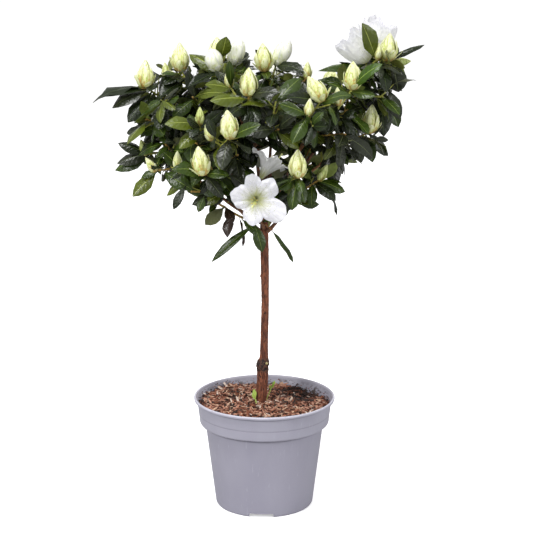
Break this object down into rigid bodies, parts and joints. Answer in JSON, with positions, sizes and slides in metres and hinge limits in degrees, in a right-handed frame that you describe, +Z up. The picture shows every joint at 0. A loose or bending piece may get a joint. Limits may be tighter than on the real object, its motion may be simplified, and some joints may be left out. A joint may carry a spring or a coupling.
{
  "type": "potted rhododendron",
  "caption": "Small white-flowered rhododendron trained as a standard: a bare stem, a flat-topped leafy crown with buds and open blooms, in a round nursery pot.",
  "frame": {"origin": "on the pot's axis, at the level of its flat underside, where the central pad of its base meets the floor", "axes": "+Z up along the pot's axis; -Y is the front, the side that the largest open flower faces; +X to the right as seen from the front"},
  "size_m": [0.3356, 0.268, 0.5168],
  "materials": {
    "pot_plastic": "satin",
    "potting_mix": "matte",
    "bark": "matte",
    "foliage": "satin",
    "twig": "matte",
    "bud": "satin",
    "blossom": "matte"
  },
  "bodies": {
    "root": {"pot": "pot_plastic", "soil": "potting_mix", "trunk": "bark", "bough_back_centre": "bark", "bough_back_left": "bark", "bough_back_left_low": "bark", "bough_back_right": "bark", "bough_back_right_low": "bark", "bough_centre_front": "bark", "bough_centre_left": "bark", "bough_centre_low": "bark", "bough_centre_right": "bark", "bough_left_front": "bark", "bough_left_front_low": "bark", "bough_left_low": "bark", "bough_left_tip": "bark", "bough_left_top": "bark", "bough_low_tuft": "bark", "bough_right_front": "bark", "bough_right_low": "bark", "bough_right_mid": "bark", "bough_right_top": "bark", "foliage_back_centre": "foliage", "foliage_back_left": "foliage", "foliage_back_left_low": "foliage", "foliage_back_right": "foliage", "foliage_back_right_low": "foliage", "foliage_centre_front": "foliage", "foliage_centre_left": "foliage", "foliage_centre_low": "foliage", "foliage_centre_right": "foliage", "foliage_left_front": "foliage", "foliage_left_front_low": "foliage", "foliage_left_low": "foliage", "foliage_left_tip": "foliage", "foliage_left_top": "foliage", "foliage_low_tuft": "foliage", "foliage_right_front": "foliage", "foliage_right_low": "foliage", "foliage_right_mid": "foliage", "foliage_right_top": "foliage"}
  },
  "joints": []
}
